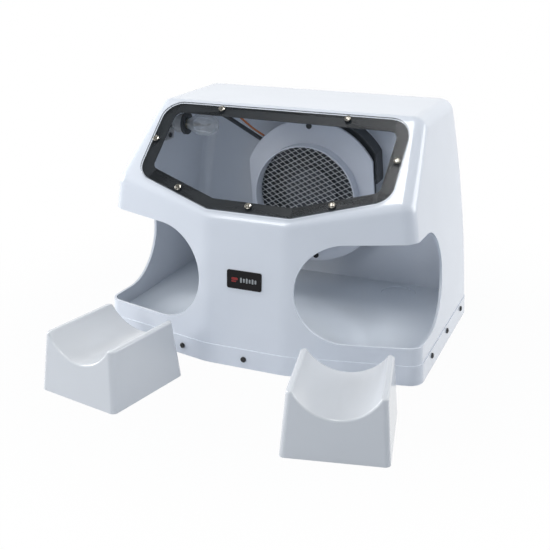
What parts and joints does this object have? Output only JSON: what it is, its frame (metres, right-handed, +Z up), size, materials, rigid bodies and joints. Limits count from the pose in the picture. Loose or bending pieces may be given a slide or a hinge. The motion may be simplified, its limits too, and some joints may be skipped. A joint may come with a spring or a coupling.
{
  "type": "nail dust collector",
  "caption": "Desktop nail dust collector: grey hood with a sloping clear window, two arm openings, a meshed blower, a small lamp inside and two loose armrests.",
  "frame": {"origin": "on the table, under the middle of the hood footprint, at the tread of the centre foot", "axes": "+X to the right of the person who uses it, +Y away from that person, +Z up"},
  "size_m": [0.4227, 0.4758, 0.286],
  "materials": {
    "hood_plastic": "moulded pearl-grey plastic, satin gloss",
    "tray_plastic": "moulded light grey plastic, glossy",
    "rest_plastic": "moulded pearl-white plastic, satin gloss",
    "bright_screws": "bright plated steel",
    "black_screws": "black oxide steel",
    "plain_steel": "plain zinc-plated steel",
    "foot_rubber": "matt black rubber",
    "black_gasket": "black printed border and foam tape",
    "clear_acrylic": "clear polished acrylic",
    "badge_black": "gloss black badge with plain marks",
    "plate_paint": "pale grey powder coat",
    "mesh_metal": "dark expanded metal",
    "black_plastic": "matt black moulded plastic",
    "motor_core": "dark lacquered steel",
    "guard_wire": "plated wire",
    "socket_black": "black moulded plastic",
    "brass_cap": "plain brass",
    "bulb_clear": "clear glass",
    "filament_metal": "wire on a glass stem",
    "wire_black_pvc": "black PVC insulation",
    "wire_orange_pvc": "orange PVC insulation",
    "cover_plastic": "grey moulded plastic",
    "rocker_black": "gloss black plastic"
  },
  "bodies": {
    "collector": {"hood_shell": "hood_plastic", "base_tray": "tray_plastic", "tray_screws": "black_screws", "rubber_feet": "foot_rubber", "window_gasket": "black_gasket", "window_pane": "clear_acrylic", "window_screws": "bright_screws", "window_nuts": "plain_steel", "badge_plate": "badge_black", "blower_plate": "plate_paint", "intake_collar": "plate_paint", "intake_mesh": "mesh_metal", "scroll_housing": "black_plastic", "plate_screws": "black_screws", "motor_bracket": "plain_steel", "motor_stator": "motor_core", "motor_bearings": "plain_steel", "exhaust_spigot": "black_plastic", "exhaust_guard": "guard_wire", "spigot_screws": "bright_screws", "lamp_bracket": "plate_paint", "lamp_screws": "bright_screws", "lamp_socket": "socket_black", "bulb_cap": "brass_cap", "bulb_glass": "bulb_clear", "bulb_filament": "filament_metal", "wire_black": "wire_black_pvc", "wire_orange": "wire_orange_pvc", "wiring_cover": "cover_plastic", "power_inlet": "socket_black", "inlet_pins": "brass_cap", "inlet_screws": "bright_screws", "switch_frames": "socket_black", "terminal_block": "cover_plastic", "run_capacitor": "cover_plastic"},
    "impeller": {"motor_shaft": "plain_steel", "motor_rotor": "motor_core", "blower_wheel": "black_plastic"},
    "fan_switch": {"fan_rocker": "rocker_black"},
    "lamp_switch": {"lamp_rocker": "rocker_black"},
    "left_rest": {"armrest_left": "rest_plastic"},
    "right_rest": {"armrest_right": "rest_plastic"}
  },
  "joints": [
    {"name": "impeller_spin", "type": "hinge", "parent": "collector", "child": "impeller", "pos_m": [-0.01394, 0.13516, 0.14709], "axis": [0, -0.9997, -0.0227], "continuous": true},
    {"name": "fan_switch_rock", "type": "hinge", "parent": "collector", "child": "fan_switch", "pos_m": [-0.1, 0.14101, 0.05252], "axis": [1, 0, 0], "range_deg": [0, 18]},
    {"name": "lamp_switch_rock", "type": "hinge", "parent": "collector", "child": "lamp_switch", "pos_m": [-0.082, 0.14101, 0.05252], "axis": [1, 0, 0], "range_deg": [0, 18]},
    {"name": "left_rest_slide", "type": "slide", "parent": "collector", "child": "left_rest", "axis": [0.1925, 0.9813, 0], "range_m": [-0.08, 0.03]},
    {"name": "right_rest_slide", "type": "slide", "parent": "collector", "child": "right_rest", "axis": [-0.2147, 0.9767, 0], "range_m": [-0.08, 0.03]}
  ]
}
